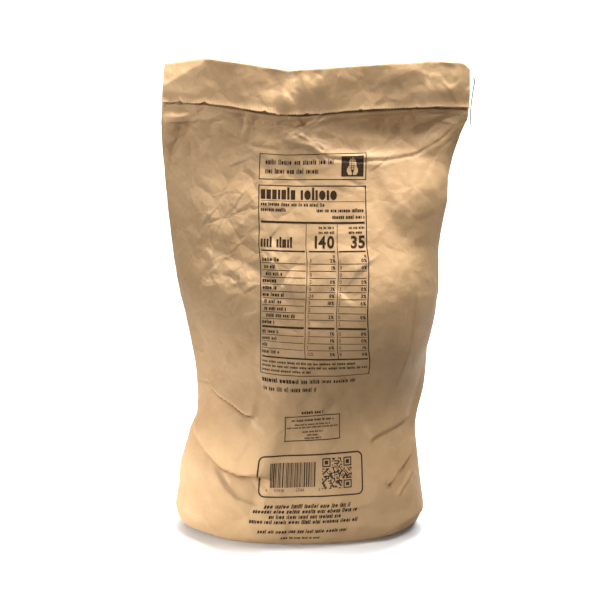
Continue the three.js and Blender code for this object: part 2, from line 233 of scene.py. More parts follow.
# Cross-sections: their height, their sides, the depth of the two panels from the spine, the spine's Y, the
# X of the deepest point, and how boxy (low) or lens-shaped (high) each half is.
SECTION_HEIGHTS = [40, 86, 152, 184, 233, 296, 404, 508, 567, 611, 651, HEIGHT]
SECTIONS = {
    "left": [-215, -205, -190, -179, -179, -187, -207, -216, -219, -218, -217, -213],
    "right": [172, 166, 158, 160, 169, 173, 179, 189, 199, 208, 218, 218.5],
    "front": [90, 96, 97, 100, 106, 112, 99, 70, 47, 17, BAND_HALF_THICKNESS, BAND_HALF_THICKNESS],
    "back": [77, 88, 96, 99, 100, 88, 66, 52, 39, 22, BAND_HALF_THICKNESS, BAND_HALF_THICKNESS],
    "spine": [-6, -2, 2, 4, 5, 5, 3, 0, -4, -17, -28, -27],
    "crown": [-32, -24, -14, -12, -8, 2, 26, 46, 44, 20, 0, 0],
    "square_left": [0.46, 0.45, 0.5, 0.5, 0.5, 0.52, 0.62, 0.8, 0.88, 0.8, 0.2, 0.2],
    "square_right": [0.47, 0.45, 0.48, 0.48, 0.48, 0.47, 0.48, 0.56, 0.7, 0.8, 0.2, 0.2],
}
CLOSURE_BOW = 20  # how far the closure's middle bows to the front
CLOSURE_BOW_FROM = 540
MIDDLE_LOW, MIDDLE_HIGH = -16, -2  # X of the panel's middle line at the ground and at the top
TOP_LINE = [(-217, 8), (-155, 1), (-96, 9), (-40, 18), (30, 13), (157, 5), (206, 7), (219, 16)]

# The lower edge of the folded-over closure, and the pinched line that it has pressed into the panel.
FLAP_EDGE = [(-217, 653), (-153, 651.5), (-111, 646), (-82, 641), (-56, 637.5), (-21, 636), (34, 640.5),
             (76, 643), (118, 645), (170, 646.5), (219, 645)]
PINCH_DEPTH, PINCH_REACH, PINCH_BELOW = 3.2, 1.3, 1.7

# Soft swells and hollows: the panel, the middle, the reach across and up, and the height.
SWELLS = [
    ("front", 138, 440, 56, 70, 9), ("front", 98, 354, 60, 84, 18), ("front", 78, 214, 118, 68, -22),
    ("front", 108, 618, 88, 18, -13), ("front", 158, 534, 56, 50, 13), ("front", -150, 596, 60, 26, -6),
    ("front", -130, 470, 85, 75, 4), ("front", -145, 268, 84, 84, -21), ("front", -150, 112, 80, 42, 12),
    ("back", -60, 300, 90, 110, 5), ("back", 40, 590, 120, 28, -8),
]

# Folds, as lines in X and Z from left to right: the height on the upper and on the lower side, the reach of
# each, half the width of the turn between them, and the line.
FRONT_FOLDS = [
    (13, -9, 40, 28, 2.6, [(-186, 186), (-169, 159), (-153, 143), (-128, 125), (-106, 118), (-82, 119),
                           (-58, 110)]),
    (6, -4, 24, 16, 2.4, [(-182, 240), (-153, 225), (-135, 218), (-102, 204), (-84, 202)]),
    (-2, 3, 12, 18, 3, [(-145, 132), (-125, 97), (-111, 85), (-76, 74)]),
    (7, -6, 26, 24, 2.6, [(108, 92), (119, 104), (127, 114), (152, 132), (166, 146)]),
    (-2, 3, 14, 16, 3, [(122, 74), (130, 83), (142, 96), (156, 106)]),
    (3, -9, 20, 30, 5, [(88, 0), (107, 6), (122, 18), (143, 26), (165, 28), (184, 34)]),
    (4, -3, 22, 22, 5, [(84, 160), (117, 175), (158, 184)]),
    (-4, 4, 24, 40, 12, [(-4, 598), (21, 587), (60, 583), (100, 584), (135, 590), (177, 612), (207, 640)]),
    (-3, 3, 15, 16, 4.5, [(-64, 640), (-35, 618), (-6, 602), (28, 584)]),
    (-2.5, 2.5, 22, 34, 14, [(-190, 644), (-130, 622), (-85, 606), (-40, 600)]),
]
BACK_FOLDS = [
    (8, -8, 34, 26, 5, [(-176, 150), (-140, 124), (-96, 112), (-44, 118)]),
    (8, -7, 30, 24, 5, [(46, 128), (88, 116), (128, 132), (158, 166)]),
    (5, -5, 26, 20, 5, [(70, 242), (110, 226), (156, 236)]),
    (-6, 6, 22, 34, 7, [(-190, 632), (-110, 596), (-10, 582), (96, 594), (190, 634)]),
]
# Sharper creases that the front panel's paper has kept, in the same form.
CREASES = [
    (1.2, -1.0, 9, 9, 2.2, [(-98, 640), (-98, 621), (-104, 606)]),
    (-1.6, 1.6, 10, 12, 2.4, [(-30, 622), (-12, 612), (12, 600), (26, 590)]),
    (-2.6, 2.2, 9, 10, 2.2, [(-40, 606), (-21, 615), (0, 628), (12, 640)]),
    (1.5, -1.2, 10, 10, 2.2, [(-8, 606), (6, 596), (14, 584)]),
    (-2.4, 2.0, 8, 9, 2.0, [(-26, 640), (-14, 620), (-10, 600)]),
    (2.2, -1.8, 8, 9, 2.0, [(-48, 604), (-30, 596), (-4, 590), (20, 566)]),
    (0.65, -0.5, 10, 8, 2.0, [(-128, 492), (-112, 506), (-96, 532)]),
    (-0.65, 0.6, 9, 12, 2.0, [(-211, 471), (-180, 458), (-150, 444), (-128, 440)]),
    (0.6, -0.5, 8, 9, 2.0, [(-150, 444), (-138, 470), (-126, 495)]),
    (0.55, -0.5, 7, 8, 2.0, [(-126, 404), (-114, 398), (-98, 402)]),
    (0.5, -0.45, 7, 8, 2.0, [(-168, 340), (-158, 330), (-146, 334)]),
    (0.5, -0.45, 7, 8, 2.0, [(-150, 300), (-143, 284), (-146, 268)]),
    (0.6, -0.45, 8, 8, 2.0, [(46, 548), (62, 540), (78, 534)]),
    (0.5, -0.4, 8, 8, 2.0, [(72, 556), (90, 566), (112, 590)]),
    (0.45, -0.4, 7, 7, 2.0, [(-20, 540), (30, 536), (58, 526)]),
    (0.9, -0.7, 10, 10, 2.4, [(-205, 43), (-188, 36), (-170, 34), (-156, 24)]),
    (0.8, -0.7, 10, 12, 2.2, [(-96, 203), (-90, 192), (-70, 180)]),
    (0.7, -0.6, 9, 10, 2.2, [(-158, 152), (-136, 119), (-118, 100)]),
    (0.6, -0.5, 9, 10, 2.0, [(-100, 128), (-84, 104), (-70, 88)]),
    (0.5, -0.5, 8, 9, 2.0, [(136, 186), (152, 178), (164, 176)]),
    (0.5, -0.4, 8, 8, 2.0, [(96, 156), (124, 150), (150, 156)]),
    (0.5, -0.45, 8, 8, 2.0, [(-60, 330), (-52, 318), (-36, 316)]),
    (0.45, -0.4, 8, 8, 2.0, [(-60, 176), (-44, 186), (-40, 204)]),
    (0.5, -0.4, 9, 9, 2.0, [(-196, 560), (-176, 520), (-166, 486)]),
    (-0.5, 0.4, 9, 9, 2.0, [(-120, 590), (-104, 560), (-98, 528)]),
]
FOLD_END = 0.16  # share of its length over which a fold fades in and out
FOLD_GROOVE, FOLD_GROOVE_REACH = 0.3, 2.2  # a pinched line along the foot of each fold
PAINTED_SHADE_EDGE, PAINTED_SHADE_FROM, PAINTED_SHADE_TO = 4, 2, 10  # painted shade at the foot of sharp folds that are high enough
SIDE_FADE = 30  # width next to the sack's sides over which swells and folds fade out


def smooth_step(low, high, value):
    """A smooth rise from 0 at low to 1 at high."""
    t = np.clip((value - low) / (high - low), 0, 1)
    return t * t * (3 - 2 * t)


def section(key, z):
    """A section's value at a height, on a smooth curve through the listed sections."""
    heights, values = np.array(SECTION_HEIGHTS, float), np.array(SECTIONS[key], float)
    last = len(heights) - 1
    z = np.clip(z, heights[0], heights[-1])
    i = np.clip(np.searchsorted(heights, z, side="left") - 1, 0, last - 1)
    before, after = np.maximum(np.arange(last + 1) - 1, 0), np.minimum(np.arange(last + 1) + 1, last)
    slopes = (values[after] - values[before]) / (heights[after] - heights[before])
    span = heights[i + 1] - heights[i]
    t = (z - heights[i]) / span
    return ((2 * t**3 - 3 * t**2 + 1) * values[i] + (t**3 - 2 * t**2 + t) * span * slopes[i]
            + (3 * t**2 - 2 * t**3) * values[i + 1] + (t**3 - t**2) * span * slopes[i + 1])


def panel_row(z, sign):
    """X and Y of one panel's columns at a height, in equal lengths of paper on each side of its middle."""
    below = np.clip((FOOT_HEIGHT - z) / FOOT_HEIGHT, 0, 1)
    inset = FOOT_INSET * (1 - math.sqrt(1 - below * below))
    left, right, crown = section("left", z) + inset, section("right", z) - inset, section("crown", z)
    depth = max(section("front" if sign < 0 else "back", z), BAND_HALF_THICKNESS) - inset
    angles = (np.arange(ARC_SAMPLES + 1) / ARC_SAMPLES - 0.5) * math.pi
    across = np.sin(np.abs(angles))
    to_right = angles > 0
    x = crown + np.sign(angles) * np.where(to_right, right - crown, crown - left) * across
    square = np.where(to_right, section("square_right", z), section("square_left", z))
    y = section("spine", z) + sign * depth * np.maximum(0, 1 - across**2) ** square
    length = np.concatenate(([0], np.cumsum(np.hypot(np.diff(x), np.diff(y)))))
    middle = np.interp(MIDDLE_LOW + (MIDDLE_HIGH - MIDDLE_LOW) * z / HEIGHT, x, length)
    half = PANEL_COLUMNS // 2
    wanted = np.concatenate((np.linspace(0, middle, half + 1),
                             np.linspace(middle, length[-1], half + 1)[1:]))
    x, y = np.interp(wanted, length, x), np.interp(wanted, length, y)
    bow = CLOSURE_BOW * smooth_step(CLOSURE_BOW_FROM, LIP, z)
    side_to_side = (x - (left + right) / 2) / ((right - left) / 2)
    drop = np.interp(x, *zip(*TOP_LINE)) * smooth_step(CLOSURE_BOW_FROM, LIP, z)
    return np.stack([x, y - bow * (1 - side_to_side**2), z - drop], axis=1)


def fold_shape(above, below, reach_above, reach_below, edge, line, x, z):
    """How far a fold moves its panel at (x, z), outwards being positive, and how near its foot that is."""
    nearest, side, along = np.full(x.shape, np.inf), np.ones(x.shape), np.zeros(x.shape)
    steps = len(line) - 1
    for i in range(steps):
        (start_x, start_z), (end_x, end_z) = line[i], line[i + 1]
        run_x, run_z = end_x - start_x, end_z - start_z
        t = np.clip(((x - start_x) * run_x + (z - start_z) * run_z) / (run_x**2 + run_z**2), 0, 1)
        distance = np.hypot(x - start_x - t * run_x, z - start_z - t * run_z)
        closer = distance < nearest
        nearest = np.where(closer, distance, nearest)
        side = np.where(closer, np.where(run_x * (z - start_z) < run_z * (x - start_x), -1, 1), side)
        along = np.where(closer, (i + t) / steps, along)
    upper = smooth_step(-edge, edge, nearest * side)
    fade = smooth_step(0, FOLD_END, along) * smooth_step(0, FOLD_END, 1 - along)
    foot = np.exp(-((nearest * side + edge) / FOLD_GROOVE_REACH) ** 2)
    height = fade * (upper * above * np.exp(-nearest / reach_above)
                     + (1 - upper) * below * np.exp(-nearest / reach_below)
                     - FOLD_GROOVE * abs(above - below) * foot)
    return height, fade * foot


def crumple(size, height, random, rows, columns, row_step, column_step):
    """Flat facets with sharp edges: heights on a jittered net of triangles that closes on itself around."""
    across, up = round(columns * column_step / size), math.ceil(rows * row_step / size) + 2
    cell_u, cell_v = columns * column_step / across, size
    shift = random.uniform(-0.36, 0.36, (2, up + 1, across)) * np.array([cell_u, cell_v])[:, None, None]
    knots = random.normal(0, height, (up + 1, across))
    flipped = random.random((up, across)) < 0.5
    result = np.zeros((rows, columns))
    for i in range(up):
        for j in range(across):
            corners = []
            for a, b in ((i, j), (i, j + 1), (i + 1, j + 1), (i + 1, j)):
                wrapped = b % across
                corners.append((b * cell_u + shift[0, a, wrapped], (a - 1) * cell_v + shift[1, a, wrapped],
                                knots[a, wrapped]))
            for trio in ((0, 1, 2), (0, 2, 3)) if flipped[i, j] else ((0, 1, 3), (1, 2, 3)):
                (u0, v0, h0), (u1, v1, h1), (u2, v2, h2) = (corners[k] for k in trio)
                low_c = math.ceil(min(u0, u1, u2) / column_step)
                high_c = math.floor(max(u0, u1, u2) / column_step)
                low_r = max(0, math.ceil(min(v0, v1, v2) / row_step))
                high_r = min(rows - 1, math.floor(max(v0, v1, v2) / row_step))
                if high_c < low_c or high_r < low_r:
                    continue
                r, c = np.mgrid[low_r:high_r + 1, low_c:high_c + 1]
                u, v = c * column_step - u0, r * row_step - v0
                area = (u1 - u0) * (v2 - v0) - (u2 - u0) * (v1 - v0)
                b1 = (u * (v2 - v0) - (u2 - u0) * v) / area
                b2 = ((u1 - u0) * v - u * (v1 - v0)) / area
                inside = (b1 >= -1e-9) & (b2 >= -1e-9) & (b1 + b2 <= 1 + 1e-9)
                heights = h0 + b1 * (h1 - h0) + b2 * (h2 - h0)
                result[r[inside], c[inside] % columns] = heights[inside]
    return result


# Rows of the net, from the ground to the top, and both panels on one closed net of columns around.
foot_z = [FOOT_HEIGHT * (1 - math.cos(i / FOOT_ROWS * math.pi / 2)) for i in range(FOOT_ROWS)]
wall_z = (list(np.linspace(FOOT_HEIGHT, LIP_ZONE, WALL_ROWS, endpoint=False))
          + list(np.linspace(LIP_ZONE, LIP - 1, LIP_ROWS)))
band_z = list(np.linspace(LIP, HEIGHT - 1.5, BAND_ROWS + 1))
row_z = np.array(foot_z + wall_z + band_z)
front = np.array([panel_row(z, -1) for z in row_z])
back = np.array([panel_row(z, 1) for z in row_z])
net = np.concatenate((front, back[:, 1:-1][:, ::-1]), axis=1)
rows, around = net.shape[:2]
ROW_STEP = (LIP_ZONE - FOOT_HEIGHT) / WALL_ROWS
COLUMN_STEP = PAPER_WIDTH / PANEL_COLUMNS
is_front = np.arange(around)[None, :] < PANEL_COLUMNS
from_side = np.minimum(np.arange(around) % PANEL_COLUMNS,
                       PANEL_COLUMNS - np.arange(around) % PANEL_COLUMNS)[None, :] * COLUMN_STEP
x, z = net[..., 0], net[..., 2]
paper_z = np.broadcast_to(row_z[:, None], x.shape)
off_ground = smooth_step(0, FOOT_HEIGHT / 2, paper_z)
below_closure = 1 - smooth_step(LIP - 12, LIP - 3, paper_z)

relief = np.zeros(x.shape)
for panel, middle_x, middle_z, reach_x, reach_z, height in SWELLS:
    away = ((x - middle_x) / reach_x) ** 2 + ((z - middle_z) / reach_z) ** 2
    relief += np.where(is_front == (panel == "front"), height * np.exp(-away), 0)
creasing, soil = np.zeros(x.shape), np.zeros(x.shape)
for here, folds in ((is_front, FRONT_FOLDS), (~is_front, BACK_FOLDS), (is_front, CREASES)):
    for above, below, reach_above, reach_below, edge, fold_line in folds:
        height, foot = fold_shape(above, below, reach_above, reach_below, edge, fold_line, x, z)
        height = np.where(here, height, 0)
        relief += height
        creasing += height if folds is CREASES else 0
        # Painted shade along the foot of each sharp fold that is high enough.
        if edge < PAINTED_SHADE_EDGE:
            soiled = np.clip((abs(above - below) - PAINTED_SHADE_FROM) / (PAINTED_SHADE_TO - PAINTED_SHADE_FROM), 0, 1)
            soil = np.maximum(soil, np.where(here, foot * soiled, 0))

# The outer ply's pasted seam: one thickness of paper that stands up at a line along the tube.
SEAM_U = 138  # from the front panel's middle
SEAM_RISE, SEAM_REACH = 1.0, 18
past_seam = (np.arange(around)[None, :] - PANEL_COLUMNS / 2) * COLUMN_STEP - SEAM_U
relief += np.where(is_front & (past_seam > 0), SEAM_RISE * np.exp(-past_seam / SEAM_REACH), 0)

# The paper's own crumple: large soft facets, then smaller and sharper ones where it has been handled most,
# which is the slack top, and above the corn the left of the front panel and the back panel.
random = np.random.default_rng(17)
net_size = (rows, around, ROW_STEP, COLUMN_STEP)
handled = 0.3 + 0.7 * smooth_step(200, 380, z) * np.where(is_front, 1 - smooth_step(-110, 10, x), 0.6)
handled = np.maximum(handled, smooth_step(530, 610, z))
soft = crumple(74, 2.2, random, *net_size)
middling = crumple(34, 2.2, random, *net_size) * handled
fine = crumple(15, 0.8, random, *net_size) * handled
side_fade = smooth_step(0, SIDE_FADE, from_side)
relief = relief * side_fade + (soft + middling + fine) * (0.35 + 0.65 * side_fade)

around_step = np.roll(net, -1, axis=1) - np.roll(net, 1, axis=1)
up_step = np.gradient(net, axis=0)
outwards = np.cross(around_step, up_step)
outwards /= np.maximum(np.linalg.norm(outwards, axis=2, keepdims=True), 1e-9)
kept = off_ground * below_closure
below_edge = np.interp(x, *zip(*FLAP_EDGE)) - z - PINCH_BELOW
pinch = np.where(is_front, -PINCH_DEPTH * np.exp(-((below_edge / PINCH_REACH) ** 2)), 0)
pinch *= smooth_step(0, 8, from_side)
# Painted shade also darkens the pinched line under the closure's edge, where its shadow falls.
soil = np.maximum(soil, -pinch / PINCH_DEPTH)
net = net + outwards * (relief * kept + pinch)[..., None]

# Wear: where the paper bends most it is rubbed lighter.
FULL_WEAR = 0.5  # height over its neighbours at which a spot is rubbed most
small = (middling + fine + creasing) * kept
neighbours = np.roll(small, 2, 0) + np.roll(small, -2, 0) + np.roll(small, 2, 1) + np.roll(small, -2, 1)
wear = np.clip(np.abs(small - neighbours / 4) / FULL_WEAR, 0, 1)

# The pressed closure's crumple, on a grid of its own: its cells and its lower left corner.
BAND_CELL, BAND_LEFT, BAND_LOW = 2, -232, 636
band_size = (44, 232, BAND_CELL, BAND_CELL)
band_relief = crumple(34, 1.3, random, *band_size) + crumple(15, 0.5, random, *band_size)


def band_bend(x, z):
    """How far the pressed closure is bent backwards at (x, z); both its layers bend together."""
    column = np.clip((x - BAND_LEFT) / BAND_CELL, 0, band_relief.shape[1] - 1.001)
    row = np.clip((z - BAND_LOW) / BAND_CELL, 0, band_relief.shape[0] - 1.001)
    c, r = np.floor(column).astype(int), np.floor(row).astype(int)
    column, row = column - c, row - r
    facets = ((band_relief[r, c] * (1 - column) + band_relief[r, c + 1] * column) * (1 - row)
              + (band_relief[r + 1, c] * (1 - column) + band_relief[r + 1, c + 1] * column) * row)
    side_left = np.maximum(0, -150 - x)
    # The top left corner is folded back along a line that falls 40 mm over 74 mm from the top edge.
    corner_left = np.maximum(0, ((-145 - x) * 40 - (712 - z) * 74) / 84)
    corner_right = np.maximum(0, x - 158 - 0.12 * (z - 650))
    crush = sum(height * np.exp(-(((x - at_x) / wide) ** 2) - ((z - at_z) / tall) ** 2)
                for at_x, at_z, wide, tall, height in CLOSURE_DENTS)
    rise = smooth_step(610, 655, z)
    return (0.2 * side_left + 0.4 * corner_left + 0.22 * corner_right + crush + facets) * rise


# Dents of the closure: the middle, the reach across and up, and the depth.
CLOSURE_DENTS = [
    (-56, 682, 12, 22, 6), (-42, 655, 8, 16, -5), (-28, 690, 8, 16, 4), (-14, 672, 8, 22, -3),
    (4, 676, 22, 30, -3), (-108, 664, 38, 16, 2.5), (-112, 710, 38, 18, -3.5), (60, 668, 34, 18, 2),
    (120, 694, 22, 16, -2.2), (100, 660, 12, 10, 2), (178, 668, 26, 8, -1.8), (-180, 664, 20, 10, -1.5),
]
net[..., 1] += band_bend(net[..., 0], net[..., 2])

# The lower front corners are turned up off the ground: the middle, the reach across and deep, and the height.
TURNED_UP = [(168, -45, 40, 34, 7), (-188, -52, 46, 40, 6)]
for at_x, at_y, wide, deep, height in TURNED_UP:
    corner = np.exp(-(((net[..., 0] - at_x) / wide) ** 2) - ((net[..., 1] - at_y) / deep) ** 2)
    net[..., 2] += height * corner * (1 - smooth_step(0, FOOT_HEIGHT, net[..., 2]))

# The base: rings that shrink over the ground to the seam across its middle.
middle_x = (net[0, 0, 0] + net[0, PANEL_COLUMNS, 0]) / 2
middle_y = (net[0, 0, 1] + net[0, PANEL_COLUMNS, 1]) / 2
base = []
for i in range(BASE_ROWS, 0, -1):
    share = i / BASE_ROWS * BASE_SHRINK
    squeeze = 1 - (1 - BASE_SEAM_SHARE) * share
    ring = net[0].copy()
    ring[:, 0] = middle_x + (ring[:, 0] - middle_x) * squeeze
    ring[:, 1] = middle_y + (ring[:, 1] - middle_y) * (1 - share)
    ring[:, 2] *= (1 - share) ** 2
    base.append(ring)
net = np.concatenate((np.array(base), net))
rows = len(net)

# The front panel keeps all its columns, the back panel every second one; they share the side columns.
kept_columns = np.concatenate((np.arange(PANEL_COLUMNS + 1), np.arange(PANEL_COLUMNS + 2, around, 2)))
per_row = len(kept_columns)
front_ring = list(range(PANEL_COLUMNS + 1))
back_ring = [PANEL_COLUMNS] + list(range(PANEL_COLUMNS + 1, per_row)) + [0]
sack_faces = []
for r in range(rows - 1):
    low, high = r * per_row, (r + 1) * per_row
    for ring in (front_ring, back_ring):
        for a, b in zip(ring, ring[1:]):
            sack_faces.append((low + a, low + b, high + b))
            sack_faces.append((low + a, high + b, high + a))
for first, turned in ((0, True), ((rows - 1) * per_row, False)):
    for j in range(len(back_ring) - 1):
        near = [PANEL_COLUMNS - 2 * j, PANEL_COLUMNS - 2 * j - 1, PANEL_COLUMNS - 2 * j - 2]
        loop = list(dict.fromkeys(near + [back_ring[j + 1], back_ring[j]]))
        loop = [first + index for index in loop]
        sack_faces.append(tuple(loop) if turned else tuple(reversed(loop)))

# Brown kraft paper, unbleached: long pale and dark fibres in the pulp, a cloudy tone, dark specks, creases
# that are rubbed lighter, painted shade at the foot of sharp folds and under the closure's edge, and a
# paler, fluffy cut edge. The fibres are drawn coarser than real ones, so that they show.
kraft, tree, shader = new_material("brown_kraft_paper", Roughness=0.62, Specular_IOR_Level=0.35)
CLOUD_SIZE, FIBRE_LENGTH, FIBRE_WIDTH, SPECK_SIZE = 50 * MM, 6 * MM, 1.1 * MM, 1.6 * MM
KRAFT_DARK, KRAFT_PALE, KRAFT_SPECK = "#be986d", "#cfaa7e", "#9a7a58"
# The last colour of this line is painted shade, for the feet of sharp folds and the line under the closure.
KRAFT_RUBBED, KRAFT_CUT, KRAFT_PAINTED_SHADE = "#dcbc95", "#dcbd98", "#5c4228"
GRAIN_SIZE, GRAIN_HEIGHT = 4 * MM, 0.35 * MM
CRINKLE_SLOPE = 0.17
CRINKLES = ((46 * MM, 1), (21 * MM, 0.6))  # their size, and their share of the slope
WANDER_SIZE, WANDER = 30 * MM, 20 * MM  # what bends the crinkles' edges

place = add_node(tree, "ShaderNodeTexCoord").outputs["Object"]
clouds = add_node(tree, "ShaderNodeTexNoise", Vector=place, Scale=1 / CLOUD_SIZE, Detail=4.0, Roughness=0.6)
stretched = add_node(tree, "ShaderNodeMapping", Vector=place,
                     Scale=(1 / FIBRE_WIDTH, 1 / FIBRE_WIDTH, 1 / FIBRE_LENGTH))
fibre = add_node(tree, "ShaderNodeTexNoise", Vector=stretched.outputs[0], Scale=1.0, Detail=3.0,
                 Distortion=1.2)
specks = add_node(tree, "ShaderNodeTexNoise", Vector=place, Scale=1 / SPECK_SIZE, Detail=1.0)
marks = {name: add_node(tree, "ShaderNodeAttribute", {"attribute_name": name}).outputs["Fac"]
         for name in ("wear", "soil", "cut", "handled")}
# Each layer over the dark paper: what steers it, between which values it rises, how far, and its colour.
tone = srgb(KRAFT_DARK)
for steered_by, low, high, most, colour in (
        (clouds.outputs["Fac"], 0.3, 0.7, 1.0, KRAFT_PALE),
        (fibre.outputs["Fac"], 0.35, 0.7, 0.4, KRAFT_PALE),
        (specks.outputs["Fac"], 0.7, 0.78, 0.45, KRAFT_SPECK), (marks["wear"], 0.2, 1.0, 0.35, KRAFT_RUBBED),
        # Painted shade darkens the foot of sharp folds and the pinched line under the closure.
        (marks["soil"], 0.05, 0.7, 0.8, KRAFT_PAINTED_SHADE), (marks["cut"], 0.0, 1.0, 1.0, KRAFT_CUT)):
    amount = add_node(tree, "ShaderNodeMapRange", Value=steered_by, From_Min=low, From_Max=high, To_Max=most)
    tone = add_node(tree, "ShaderNodeMix", {"data_type": "RGBA"}, Factor=amount.outputs[0], i6=tone,
                    i7=srgb(colour)).outputs[2]
tree.links.new(tone, shader.inputs["Base Color"])
fibrous = add_node(tree, "ShaderNodeMapRange", Value=fibre.outputs["Fac"], From_Min=0.32, From_Max=0.68)
rough = add_node(tree, "ShaderNodeTexNoise", Vector=place, Scale=1 / GRAIN_SIZE, Detail=5.0, Roughness=0.65)
grain = add_node(tree, "ShaderNodeMath", {"operation": "ADD"}, i0=rough.outputs["Fac"], i1=fibrous.outputs[0])
bump = add_node(tree, "ShaderNodeBump", Strength=0.35, Distance=GRAIN_HEIGHT, Height=grain.outputs[0])
# Crinkles too small for the mesh: flat facets with sharp edges, in two sizes, where the paper was handled.
wander = add_node(tree, "ShaderNodeTexNoise", Vector=place, Scale=1 / WANDER_SIZE, Detail=2.0)
wandering = add_node(tree, "ShaderNodeVectorMath", {"operation": "MULTIPLY_ADD"}, i0=wander.outputs["Color"],
                     i1=(WANDER, WANDER, WANDER), i2=place)
for cell, slope_share in CRINKLES:
    facets = add_node(tree, "ShaderNodeTexVoronoi", {"feature": "DISTANCE_TO_EDGE"},
                      Vector=wandering.outputs[0], Scale=1 / cell)
    bump = add_node(tree, "ShaderNodeBump", Strength=marks["handled"], Normal=bump.outputs[0],
                    Distance=CRINKLE_SLOPE * slope_share * cell, Height=facets.outputs["Distance"])
tree.links.new(bump.outputs[0], shader.inputs["Normal"])


def mark_paper(piece, **fields):
    """The values at each vertex that the paper's material reads: its wear, painted shade, cut edge and
    handling.
    """
    for name, values in fields.items():
        attribute = piece.data.attributes.new(name, "FLOAT", "POINT")
        attribute.data.foreach_set("value", np.asarray(values, np.float32).reshape(-1))


sack = new_mesh("kraft_sack", net[:, kept_columns].reshape(-1, 3) * MM, sack_faces, kraft)
on_base = np.zeros((BASE_ROWS, per_row))
mark_paper(sack, cut=np.zeros((rows, per_row)), wear=np.concatenate((on_base, wear[:, kept_columns])),
           soil=np.concatenate((on_base, soil[:, kept_columns])),
           handled=np.concatenate((on_base, handled[:, kept_columns])))
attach(sack, "root")
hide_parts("sack")


# ---- Closure flap ----
# The tube's own top end, folded over to the front and glued down. Its lower edge is the saw-toothed cut
# that a paper machine leaves; the glue stops short of it, so the edge stands off here and there.
FLAP_COLUMNS = 460
FLAP_ROWS = 26
FLAP_THICKNESS = 0.8
FLAP_GAP = 0.5  # between the flap and the panel where it is glued
FLAP_HANDLED = 0.35
# How far the edge stands off, along the closure from left to right.
FLAP_GAPES = [(-217, 1.4), (-195, 2.0), (-165, 2.2), (-140, 1.5), (-90, 1.5), (-30, 1.7), (40, 1.1),
              (90, 0.9), (130, 1.1), (160, 1.6), (219, 1.3)]
GAPE_REACH = 9  # height over which the edge stands off
TOOTH_PITCH, TOOTH_DEPTH = 4.2, 1.3
CUT_HEIGHT, CUT_LIFT, CUT_PALE = 1.0, 0.5, 0.35  # the cut edge is frayed, bends outwards and is paler
# The top fold, from the back over to the front: outwards from the spine, and down from the top.
TOP_FOLD = [(-1.1, 5.5), (-1.75, 3.6), (-1.95, 2.2), (-1.6, 1.0), (-0.8, 0.25), (0.2, 0), (1.1, 0.3),
            (1.8, 1.1), (2.15, 2.4), (2.2, 4.4)]

flap_random = np.random.default_rng(8)
share = np.linspace(0, 1, FLAP_COLUMNS)
edge_x = section("left", LIP) + share * (section("right", LIP) - section("left", LIP))
top_z = HEIGHT - np.interp(edge_x, *zip(*TOP_LINE))
tooth = np.abs((edge_x / TOOTH_PITCH) % 1 - 0.5) * 2 * TOOTH_DEPTH
steps = np.interp(edge_x, np.linspace(-219, 219, 36), flap_random.uniform(-0.8, 0.8, 36))
flap_length = top_z - np.interp(edge_x, *zip(*FLAP_EDGE)) + tooth + steps
gape = np.interp(edge_x, *zip(*FLAP_GAPES))
# A few places where the cut edge is torn or nicked: their X, half their width and their depth.
NICKS = [(-190, 2.2, 2.5), (-154, 3, 2.2), (-70, 3, 1.8), (-52, 2.5, -1.6), (-12, 2.5, 1.8), (8, 3, -1.4),
         (63, 2, 1.5), (142, 2, 1.3)]
for at_x, wide, deep in NICKS:
    flap_length -= deep * np.exp(-(((edge_x - at_x) / wide) ** 2))


def flap_point(outward, down):
    """Points across the closure at a distance outwards from its spine and down from its top edge."""
    level = HEIGHT - down
    left, right = section("left", level), section("right", level)
    x = left + share * (right - left)
    y = section("spine", level) - CLOSURE_BOW * (1 - (2 * share - 1) ** 2) - outward
    z = top_z - down
    return np.stack([x, y + band_bend(x, z), z], axis=1)


outer, inner = [], []
whole_width = np.ones(FLAP_COLUMNS)
for outward, down in TOP_FOLD:
    outer.append(flap_point(outward * whole_width, down * whole_width))
    inner_down = down + (FLAP_THICKNESS if down < 2.4 else 0)
    inner_out = outward - np.sign(outward) * (FLAP_THICKNESS if down >= 1 else 0.3)
    inner.append(flap_point(inner_out * whole_width, inner_down * whole_width))
last_out, last_down = TOP_FOLD[-1]
for i in range(1, FLAP_ROWS + 1):
    t = i / FLAP_ROWS
    down = last_down + t * (flap_length - last_down)
    if i == FLAP_ROWS - 1:
        down = flap_length - CUT_HEIGHT
    lift = gape * smooth_step(0, 1, (down - flap_length + GAPE_REACH) / GAPE_REACH) ** 1.5
    if i == FLAP_ROWS:
        lift = lift + CUT_LIFT
    outward = last_out + FLAP_GAP * smooth_step(0, 12, down - last_down) + lift
    outer.append(flap_point(outward, down))
    inner.append(flap_point(outward - FLAP_THICKNESS, down))
flap_net = np.array(outer + inner[::-1])
loop_rows = len(flap_net)
half_loop = loop_rows // 2
flap_faces = []
for r in range(loop_rows):
    after = (r + 1) % loop_rows
    for c in range(FLAP_COLUMNS - 1):
        flap_faces.append((r * FLAP_COLUMNS + c, after * FLAP_COLUMNS + c, after * FLAP_COLUMNS + c + 1,
                           r * FLAP_COLUMNS + c + 1))
for r in range(half_loop - 1):
    left_quad = [r, loop_rows - 1 - r, loop_rows - 2 - r, r + 1]
    flap_faces.append(tuple(k * FLAP_COLUMNS for k in left_quad))
    flap_faces.append(tuple(k * FLAP_COLUMNS + FLAP_COLUMNS - 1 for k in reversed(left_quad)))
flap = new_mesh("closure_flap", flap_net.reshape(-1, 3) * MM, flap_faces, kraft)
cut_edge = np.zeros((loop_rows, FLAP_COLUMNS))
cut_edge[half_loop - 1:half_loop + 1] = CUT_PALE
mark_paper(flap, cut=cut_edge, wear=0 * cut_edge, soil=0 * cut_edge, handled=0 * cut_edge + FLAP_HANDLED)
